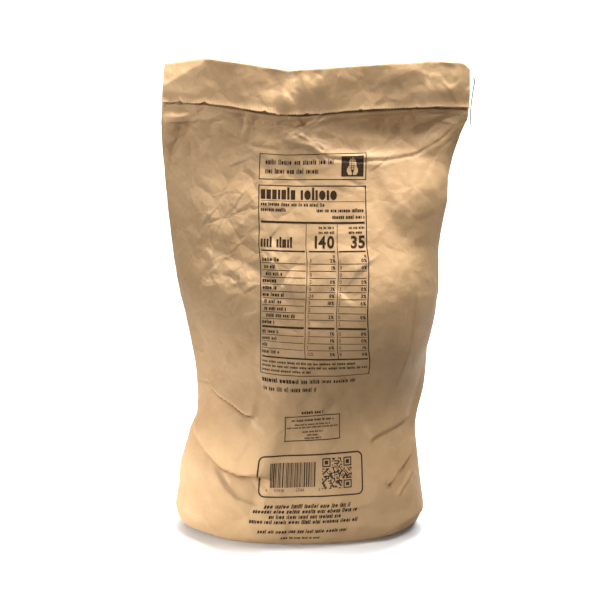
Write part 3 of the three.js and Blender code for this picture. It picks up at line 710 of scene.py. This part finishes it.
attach(flap, "root")
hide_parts("sack")


# ---- Printing ----
# One dark brown ink, printed on the flat tube: plain figures in a table, marks in place of words, two codes
# in a rounded frame, and an ear of corn. Each shape is flat on the paper, U to the right of the panel's
# middle and V up from the ground in paper millimetres; it is cut along the net's creases and lifted onto it.
INK_LIFT = 0.14  # so that the ink and the paper never share a surface
PRINT_HALF_WIDTH = 75.9
# How the print's middle wanders over the filled sack, and how the paper is drawn together there:
# height, U of the middle, and width against the flat width.
PRINT_COURSE = [(18, -3, 1), (30, 1, 1), (46, 2.5, 1), (63, 4.5, 1), (86, 11, 0.99), (150, 12, 1.03),
                (205, 9.6, 1), (270, 7.2, 1.055), (287, 6, 1.04), (297, 5.4, 1.02), (314, 3.6, 0.99),
                (331, 4, 0.965), (349, 3.6, 0.945), (365, 3.4, 0.936), (381, 4, 0.937), (397, 4.6, 0.945),
                (415, 4.8, 0.955), (436, 4.6, 0.966), (456, 2.6, 0.975), (488, 2.6, 0.985), (538, 2, 1),
                (588, 2.4, 1.02)]

# Water-based flexo ink: matt, thin, and mottled where the rough paper takes less of it.
ink, tree, shader = new_material("dark_brown_ink", Roughness=0.65, Specular_IOR_Level=0.15)
INK_MOTTLE = 3.5 * MM
place = add_node(tree, "ShaderNodeTexCoord").outputs["Object"]
mottle = add_node(tree, "ShaderNodeTexNoise", Vector=place, Scale=1 / INK_MOTTLE, Detail=3.0)
worn = add_node(tree, "ShaderNodeMapRange", Value=mottle.outputs["Fac"], From_Min=0.35, From_Max=0.75)
tone = add_node(tree, "ShaderNodeMix", {"data_type": "RGBA"}, Factor=worn.outputs[0], i6=srgb("#2a1c10"),
                i7=srgb("#43301f"))
tree.links.new(tone.outputs[2], shader.inputs["Base Color"])


def cut_polygon(polygon, a, b, least):
    """The part of a convex polygon where a * u + b * v is at least this value."""
    result = []
    for i, (u, v) in enumerate(polygon):
        before_u, before_v = polygon[i - 1]
        here, before = a * u + b * v - least, a * before_u + b * before_v - least
        if (here < 0) != (before < 0):
            t = before / (before - here)
            result.append((before_u + t * (u - before_u), before_v + t * (v - before_v)))
        if here >= 0:
            result.append((u, v))
    return result if len(result) > 2 else []


def lift_polygon(polygon, surface, points, faces):
    """Cuts a polygon in net coordinates (column, row) along the net's triangles and lifts it onto them."""
    for column in range(math.floor(min(c for c, r in polygon)), math.ceil(max(c for c, r in polygon))):
        strip = cut_polygon(cut_polygon(polygon, 1, 0, column), -1, 0, -column - 1)
        if not strip:
            continue
        for row in range(math.floor(min(r for c, r in strip)), math.ceil(max(r for c, r in strip))):
            cell = cut_polygon(cut_polygon(strip, 0, 1, row), 0, -1, -row - 1)
            if not cell:
                continue
            low_left, low_right = surface[row, column], surface[row, column + 1]
            high_left, high_right = surface[row + 1, column], surface[row + 1, column + 1]
            for lower in (True, False):
                sign = 1 if lower else -1
                piece = cut_polygon(cell, sign, -sign, sign * (column - row))
                if not piece:
                    continue
                faces.append(tuple(range(len(points), len(points) + len(piece))))
                for c, r in piece:
                    c, r = c - column, r - row
                    if lower:
                        points.append(low_left + c * (low_right - low_left) + r * (high_right - low_right))
                    else:
                        points.append(low_left + r * (high_left - low_left) + c * (high_right - high_left))


def box(left, low, right, high):
    """A rectangle as a polygon."""
    return [(left, low), (right, low), (right, high), (left, high)]


def frame_lines(left, low, right, high, line):
    """The four sides of a rectangular frame."""
    return [box(left, low, right, low + line), box(left, high - line, right, high),
            box(left, low + line, left + line, high - line),
            box(right - line, low + line, right, high - line)]


def arc(middle_u, middle_v, reach_u, reach_v, turns):
    """Points around a middle at these turns."""
    return [(middle_u + reach_u * math.cos(t), middle_v + reach_v * math.sin(t)) for t in turns]


def round_frame(left, low, right, high, radius, line):
    """A frame with round corners: its sides, and each corner as a chain of small plates."""
    plates = [box(left + radius, low, right - radius, low + line),
              box(left + radius, high - line, right - radius, high),
              box(left, low + radius, left + line, high - radius),
              box(right - line, low + radius, right, high - radius)]
    middles = [(right - radius, high - radius), (left + radius, high - radius),
               (left + radius, low + radius), (right - radius, low + radius)]
    for quarter, middle in enumerate(middles):
        for step in range(6):
            turns = [(quarter + (step + k) / 6) * math.pi / 2 for k in (0, 1)]
            inner = radius - line
            plates.append(arc(*middle, radius, radius, turns) + arc(*middle, inner, inner, turns[::-1]))
    return plates


# The marks that stand for words: strokes, blocks and oval dots in groups of a few. What is below the first
# chance is as tall as a capital, below the second a stroke, below the third a block, and the rest are dots.
# Sizes are against the height, apart from the widths of a block and a dot, which are against the stroke.
TALL_CHANCE, STROKE_CHANCE, BLOCK_CHANCE = 0.2, 0.45, 0.7
MARK_BODY, MARK_GAP, WORD_GAP = 0.78, 0.09, 0.36
BLOCK_WIDTH, DOT_WIDTH, DOT_WIDEST = 1.9, 2.8, 0.62
MARKS_IN_WORD = (3, 8)
DOT_TURNS = [2 * math.pi * i / 10 for i in range(10)]
print_random = np.random.default_rng(5)


def word_marks(left, right, low, height, weight):
    """A row of marks from a left to a right edge; weight is the width of a stroke against the height."""
    row, u, count = [], left, print_random.integers(*MARKS_IN_WORD)
    body, stroke = MARK_BODY * height, weight * height
    while True:
        kind = print_random.random()
        width = min(DOT_WIDEST * height, DOT_WIDTH * stroke)
        if kind < BLOCK_CHANCE:
            width = stroke if kind < STROKE_CHANCE else BLOCK_WIDTH * stroke
        if u + width > right:
            return row
        if kind < BLOCK_CHANCE:
            row.append(box(u, low, u + width, low + (height if kind < TALL_CHANCE else body)))
        else:
            row.append(arc(u + width / 2, low + body / 2, width / 2, body / 2, DOT_TURNS))
        u += width + MARK_GAP * height
        count -= 1
        if count <= 0:
            u += WORD_GAP * height
            count = print_random.integers(*MARKS_IN_WORD)


def cell_rows(filled, left, low, size):
    """The filled cells of a square grid, those side by side joined into one bar."""
    bars = []
    for row, cells in enumerate(filled):
        edges = np.flatnonzero(np.diff(np.concatenate(([0], cells, [0]))))
        for start, end in zip(edges[::2], edges[1::2]):
            bars.append(box(left + start * size, low + row * size, left + end * size,
                            low + (row + 1) * size))
    return bars


# Flat outlines of the plain figures in Blender's own typeface, one unit tall, with their widths.
FIGURE_NARROWING, FIGURE_SPACE, BOLD_GROWTH = 0.86, 0.1, 0.034
GLYPHS = {}
for name, bold in ((name, bold) for name in "0123456789%" for bold in (False, True)):
    text = bpy.data.curves.new("figure", "FONT")
    text.body, text.offset, text.resolution_u = name, BOLD_GROWTH if bold else 0, 4
    holder = bpy.data.objects.new("figure", text)
    bpy.context.collection.objects.link(holder)
    mesh = bpy.data.meshes.new_from_object(holder.evaluated_get(bpy.context.evaluated_depsgraph_get()))
    corners = np.array([tuple(v.co)[:2] for v in mesh.vertices])
    corners = (corners - corners.min(axis=0)) / np.ptp(corners[:, 1])
    GLYPHS[name, bold] = ([[tuple(corners[i]) for i in p.vertices] for p in mesh.polygons],
                          corners[:, 0].max())
    bpy.data.objects.remove(holder)
    bpy.data.meshes.remove(mesh)
    bpy.data.curves.remove(text)


def figures(text, left, low, height, bold=False, right=None):
    """Plain figures from a left edge, or up to a right edge if one is given."""
    widths = [GLYPHS[name, bold][1] * FIGURE_NARROWING + FIGURE_SPACE for name in text]
    u = left if right is None else right - height * (sum(widths) - FIGURE_SPACE)
    shapes = []
    for name, width in zip(text, widths):
        for corners in GLYPHS[name, bold][0]:
            shapes.append([(u + x * height * FIGURE_NARROWING, low + y * height) for x, y in corners])
        u += width * height
    return shapes


def corn_badge(left, low, size, cells, columns, kernels):
    """A dark square that leaves a standing ear of corn blank: columns of kernels between two husk leaves."""
    v, u = (np.mgrid[0:cells, 0:cells] + 0.5) / cells * 2 - 1
    across, along = np.abs(u) / 0.34, (v - 0.16) / 0.68
    kernel = (across**2 + along**2 < 1) & (v > -0.4)
    kernel &= ((u * columns + 0.5) % 1 > 0.2) & ((v * kernels) % 1 > 0.24)
    leaf = (np.abs(u) < 0.5 * np.cos((v + 0.42) * 1.9)) & (np.abs(u) > 0.36 * (v + 0.8)) & (v < 0.25)
    leaf &= (v > -0.84) & (np.abs(u) > 0.05)
    return cell_rows(~(kernel | leaf), left, low, size / cells)


TEXT_LEFT, TEXT_RIGHT = -72.5, 73.0
RULE, MIDDLE_RULE, THICK_RULE = 0.9, 2.0, 3.0
COLUMN_LINES, COLUMN_LINE = (-8.5, 35.0), 0.9
COLUMN_EDGES = ((-4.5, 31), (37.0, TEXT_RIGHT))
SEGMENTS = [(TEXT_LEFT, -10.5), (-5, 31.5), (36.5, TEXT_RIGHT)]
# The two rows in the top frame, the heading under it, and what stands over the table's columns: each row's
# left and right edge, its height on the paper, and the size and weight of its marks.
HEADING = [
    (-67, 30, 569, 9.0, 0.13), (-67, 12, 554.5, 8.5, 0.15), (TEXT_LEFT, 42, 518.5, 17, 0.2),
    (TEXT_LEFT, 18, 509.5, 5.2, 0.17), (TEXT_LEFT, -36, 502.0, 5.3, 0.22), (6, TEXT_RIGHT, 502.0, 5.3, 0.22),
    (28, TEXT_RIGHT, 493.2, 5.3, 0.22), (9, 31, 479.5, 4.0, 0.22), (9, 31, 473.0, 4.0, 0.22),
    (51, TEXT_RIGHT, 479.5, 4.0, 0.22), (51, TEXT_RIGHT, 473.0, 4.0, 0.22),
    (TEXT_LEFT, -22, 453.5, 14.5, 0.2),
]
shapes = frame_lines(-PRINT_HALF_WIDTH, 545.5, PRINT_HALF_WIDTH, 587, 1.3)
shapes += frame_lines(-PRINT_HALF_WIDTH, 270, PRINT_HALF_WIDTH, 538, 1.4)
shapes += corn_badge(40.5, 550.5, 31.5, 40, 4.4, 5.2)
for row in HEADING:
    shapes += word_marks(*row)
for v, line in ((516.2, 0.6), (486.3, THICK_RULE), (296.8, 2.4)):
    shapes.append(box(TEXT_LEFT, v, TEXT_RIGHT, v + line))
for u in COLUMN_LINES:
    shapes.append(box(u - COLUMN_LINE / 2, 297, u + COLUMN_LINE / 2, 486))
for (left, right), number in zip(COLUMN_EDGES, ("140", "35")):
    shapes += figures("%", 0, 440.5, 3.8, True, right)
    shapes += figures(number, 0, 453.0, 17.5, True, right)
for left, right in SEGMENTS:
    shapes.append(box(left, 448.0, right, 448.0 + MIDDLE_RULE))
    shapes.append(box(left, 341.6, right, 341.6 + THICK_RULE))

# The table: the marks' indent, if they are bold, their width, then a value and a share in each column.
TABLE = [
    (0, True, 27, "3", "2%", "1", "0%"), (3, False, 21, "1", "1%", "0", "0%"),
    (5, False, 24, "0", "", "0", ""), (0, True, 25, "2", "0%", "0", "0%"),
    (0, True, 22, "6", "1%", "2", "0%"), (0, True, 33, "24", "8%", "7", "3%"),
    (3, False, 28, "5", "18%", "2", "6%"), (3, False, 34, "2", "", "1", ""),
    (6, False, 44, "1", "2%", "0", "0%"), (0, True, 19, "3", "", "2", ""),
]
LOWER_TABLE = [(0, False, 26, "2", "1%", "0", "0%"), (0, False, 23, "7", "1%", "3", "0%"),
               (0, False, 10, "1", "6%", "0", "1%"), (0, False, 28, "120", "3%", "8", "0%")]
for first_v, pitch, table in ((434.2, 9.67, TABLE), (333.5, 10.1, LOWER_TABLE)):
    for i, (indent, bold, width, *values) in enumerate(table):
        v, start = first_v - i * pitch, TEXT_LEFT + indent
        shapes += word_marks(start, start + width, v, 5.8, 0.22 if bold else 0.15)
        for (left, right), value, part in zip(COLUMN_EDGES, values[::2], values[1::2]):
            shapes += figures(value, left, v, 5.0) + figures(part, 0, v, 5.0, True, right)
        if i < len(table) - 1:
            for left, right in SEGMENTS:
                shapes.append(box(left, v - 2.6, right, v - 2.6 + RULE))

# The rows under the table: three in the frame, three below it, and one over a small framed notice.
FOOTNOTES = [
    (TEXT_LEFT, 58, 288.9, 4.4, 0.19), (TEXT_LEFT, TEXT_RIGHT, 282.2, 4.4, 0.19),
    (TEXT_LEFT, 0, 275.2, 4.4, 0.19), (-74, -19, 257.5, 7.8, 0.22), (-16, 60, 257.5, 7.6, 0.13),
    (-74, 6, 244.0, 7.6, 0.13), (-17, 17, 208.0, 5.6, 0.22),
]
# Rows centred on the panel: half their width, their height on the paper and the size of their marks.
NOTICE = [(33, 197.2, 4.0), (28, 191.2, 3.0), (40, 187.0, 3.0), (16, 180.4, 3.0), (9, 175.6, 3.0),
          (13, 171.2, 3.0)]
CLOSING_ROWS = [(62, 68.5, 7.0), (75, 60.2, 7.0), (52, 51.4, 7.0), (78, 42.6, 7.0), (65, 26.5, 6.6),
                (30, 15.0, 5.0)]
for row in FOOTNOTES:
    shapes += word_marks(*row)
shapes += frame_lines(-43, 168.5, 43, 205.5, 1.4)
for half, v, height in NOTICE:
    shapes += word_marks(-half, half, v, height, 0.2)

# The rounded frame with a bar code and a square code, both drawn at random.
shapes += round_frame(-76.5, 86, 76.5, 149.5, 8.5, 2.2)
BAR = 0.66
u = -60.0
while u < 4.5:
    bar = print_random.choice([BAR, BAR, 2 * BAR, 3 * BAR])
    shapes.append(box(u, 101.5, u + bar, 138.0))
    u += bar + print_random.choice([BAR, BAR, 2 * BAR])
for text, left in (("4", -66), ("02938", -54), ("57146", -24), ("3", 9)):
    shapes += figures(text, left, 95.0, 4.6)
CODE_CELLS, CODE_LEFT, CODE_LOW, CODE_SIZE = 25, 14.0, 97.5, 45.0
CORNER = 7  # cells of a corner square
cell = CODE_SIZE / CODE_CELLS
filled = print_random.random((CODE_CELLS, CODE_CELLS)) < 0.5
for r, c in ((0, CODE_CELLS - CORNER), (CODE_CELLS - CORNER, 0), (CODE_CELLS - CORNER, CODE_CELLS - CORNER)):
    filled[max(0, r - 1):r + CORNER + 1, max(0, c - 1):c + CORNER + 1] = False
    left, low = CODE_LEFT + c * cell, CODE_LOW + r * cell
    shapes += frame_lines(left, low, left + CORNER * cell, low + CORNER * cell, cell)
    shapes.append(box(left + 2 * cell, low + 2 * cell, left + 5 * cell, low + 5 * cell))
shapes += cell_rows(filled, CODE_LEFT, CODE_LOW, cell)

# The closing rows run over the foot.
for half, v, height in CLOSING_ROWS:
    shapes += word_marks(-half, half, v, height, 0.2)

net_outwards = np.cross(np.gradient(net, axis=1), np.gradient(net, axis=0))
net_outwards /= np.maximum(np.linalg.norm(net_outwards, axis=2, keepdims=True), 1e-9)
ink_surface = net + net_outwards * INK_LIFT


def lay_shapes(shapes, surface, course, points, faces):
    """Lays shapes on a panel's net; the course lists heights, the shift of U there and its scale, and each
    shape is cut at these heights, so that its long sides follow it."""
    heights, shifts, scales = zip(*course)
    steps = surface.shape[1] - 1
    for shape in shapes:
        for low, high in zip((0,) + heights[1:-1], heights[1:-1] + (HEIGHT,)):
            laid = []
            for u, v in cut_polygon(cut_polygon(shape, 0, 1, low), 0, -1, -high):
                across = np.interp(v, heights, shifts) + u * np.interp(v, heights, scales)
                laid.append(((across / PAPER_WIDTH + 0.5) * steps,
                             np.interp(v, row_z, np.arange(len(row_z))) + BASE_ROWS))
            if laid:
                lift_polygon(laid, surface, points, faces)


front_paper = ink_surface[:, :PANEL_COLUMNS + 1]
ink_points, ink_faces = [], []
lay_shapes(shapes, front_paper, PRINT_COURSE, ink_points, ink_faces)
front_print = new_mesh("front_print", np.array(ink_points) * MM, ink_faces, ink)
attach(front_print, "root")
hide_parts("sack")

# The other face: a big ear of corn in a dark square between two bands, with a figure and marks for words.
# Each band runs over one side of the tube and shows as a sliver beside the front panel.
SIDE_U = PAPER_WIDTH / 2
WIDE_BAND, NARROW_BAND = (417, 485), (188, 203)  # heights on the paper
WIDE_SLIVER, NARROW_SLIVER = 9, 5
back_shapes = [box(-SIDE_U, WIDE_BAND[0], 186, WIDE_BAND[1]),
               box(-186, NARROW_BAND[0], SIDE_U, NARROW_BAND[1])]
back_shapes += corn_badge(-92, 219, 184, 110, 7.4, 8.2)
back_shapes += figures("50", -160, 120.0, 44, True, -86)
for row in ((-150, 150, 505, 34, 0.2), (-70, 160, 144.0, 17, 0.2), (-70, 130, 121.0, 12, 0.16)):
    back_shapes += word_marks(*row)
back_shapes += [box(-160, 98, 160, 101), box(-160, 558, 160, 561)]
STRAIGHT = [(0, 0, 1), (HEIGHT, 0, 1)]
back_paper = ink_surface[:, list(range(PANEL_COLUMNS, around, 2)) + [0]]
back_points, back_faces = [], []
lay_shapes(back_shapes, back_paper, STRAIGHT, back_points, back_faces)
slivers = [box(SIDE_U - WIDE_SLIVER, WIDE_BAND[0], SIDE_U, WIDE_BAND[1]),
           box(-SIDE_U, NARROW_BAND[0], NARROW_SLIVER - SIDE_U, NARROW_BAND[1])]
lay_shapes(slivers, front_paper, STRAIGHT, back_points, back_faces)
back_print = new_mesh("back_print", np.array(back_points) * MM, back_faces, ink)
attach(back_print, "root")
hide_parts("sack")


# ---- Floor and backdrop ----
# One sheet of white paper that curves up behind the sack.
SWEEP_HALF_WIDTH, SWEEP_FRONT, SWEEP_BACK, SWEEP_RADIUS, SWEEP_HEIGHT = 4.0, -2.5, 1.6, 0.8, 4.0
SWEEP_STEPS = 12
sweep_paper, tree, shader = new_material("white_backdrop_paper", Base_Color=srgb("#f6f6f6"), Roughness=0.95,
                                         Specular_IOR_Level=0.0)
profile = [(SWEEP_FRONT, 0.0)]
for step in range(SWEEP_STEPS + 1):
    turn = step / SWEEP_STEPS * math.pi / 2
    profile.append((SWEEP_BACK + SWEEP_RADIUS * math.sin(turn), SWEEP_RADIUS * (1 - math.cos(turn))))
profile.append((SWEEP_BACK + SWEEP_RADIUS, SWEEP_HEIGHT))
sweep_points = [(x, y, z) for y, z in profile for x in (-SWEEP_HALF_WIDTH, SWEEP_HALF_WIDTH)]
sweep_faces = [(2 * i, 2 * i + 1, 2 * i + 3, 2 * i + 2) for i in range(len(profile) - 1)]
floor = new_mesh("floor", sweep_points, sweep_faces, sweep_paper)
floor.visible_diffuse = False  # so the white sheet throws no light back on the lower part of the sack


# ---- Light ----
# Soft studio lights: the main softbox overhead and another to its right, two small ones that lift the shaded
# left side at the foot and at the closure, a strip and a weak fill in front, and one for the backdrop alone.
# Name, place, target, width and height, watts, and spread in degrees.
SOFTBOXES = [
    ("top_softbox", (0.06, 0.05, 2.0), (0, 0, 0.25), (0.5, 0.5), 84, 180),
    ("right_softbox", (0.8, -0.4, 1.8), (0, 0, 0.25), (0.5, 0.5), 19, 180),
    ("left_low_light", (-0.62, -0.28, 0.1), (-0.15, -0.05, 0.02), (0.22, 0.22), 0.9, 80),
    ("left_high_light", (-0.8, -0.5, 0.85), (-0.15, 0, 0.58), (0.25, 0.25), 0.5, 60),
    ("floor_strip", (0, -0.55, 0.02), (0, -0.1, 0.03), (0.5, 0.05), 0.11, 50),
    ("front_fill", (0, -1.9, 0.35), (0, 0, 0.25), (0.8, 0.8), 7.5, 180),
    ("backdrop_light", (0, 1.0, 2.6), (0, 2.2, 0.8), (3.0, 0.8), 150, 180),
]
for name, place, target, size, watts, spread in SOFTBOXES:
    light = bpy.data.lights.new(name, "AREA")
    light.shape = "RECTANGLE"
    light.size, light.size_y = size
    light.energy, light.spread = watts, math.radians(spread)
    softbox = bpy.data.objects.new(name, light)
    softbox.location = place
    softbox.visible_camera = False
    softbox.rotation_euler = (Vector(target) - Vector(place)).to_track_quat("-Z", "Y").to_euler()
    bpy.context.collection.objects.link(softbox)

world = bpy.data.worlds.new("pale_room")
bpy.context.scene.world = world
world.use_nodes = True
background = world.node_tree.nodes["Background"]
background.inputs["Color"].default_value = srgb("#f4f6f8")
background.inputs["Strength"].default_value = 0.03
bpy.context.scene.view_settings.view_transform = "Standard"
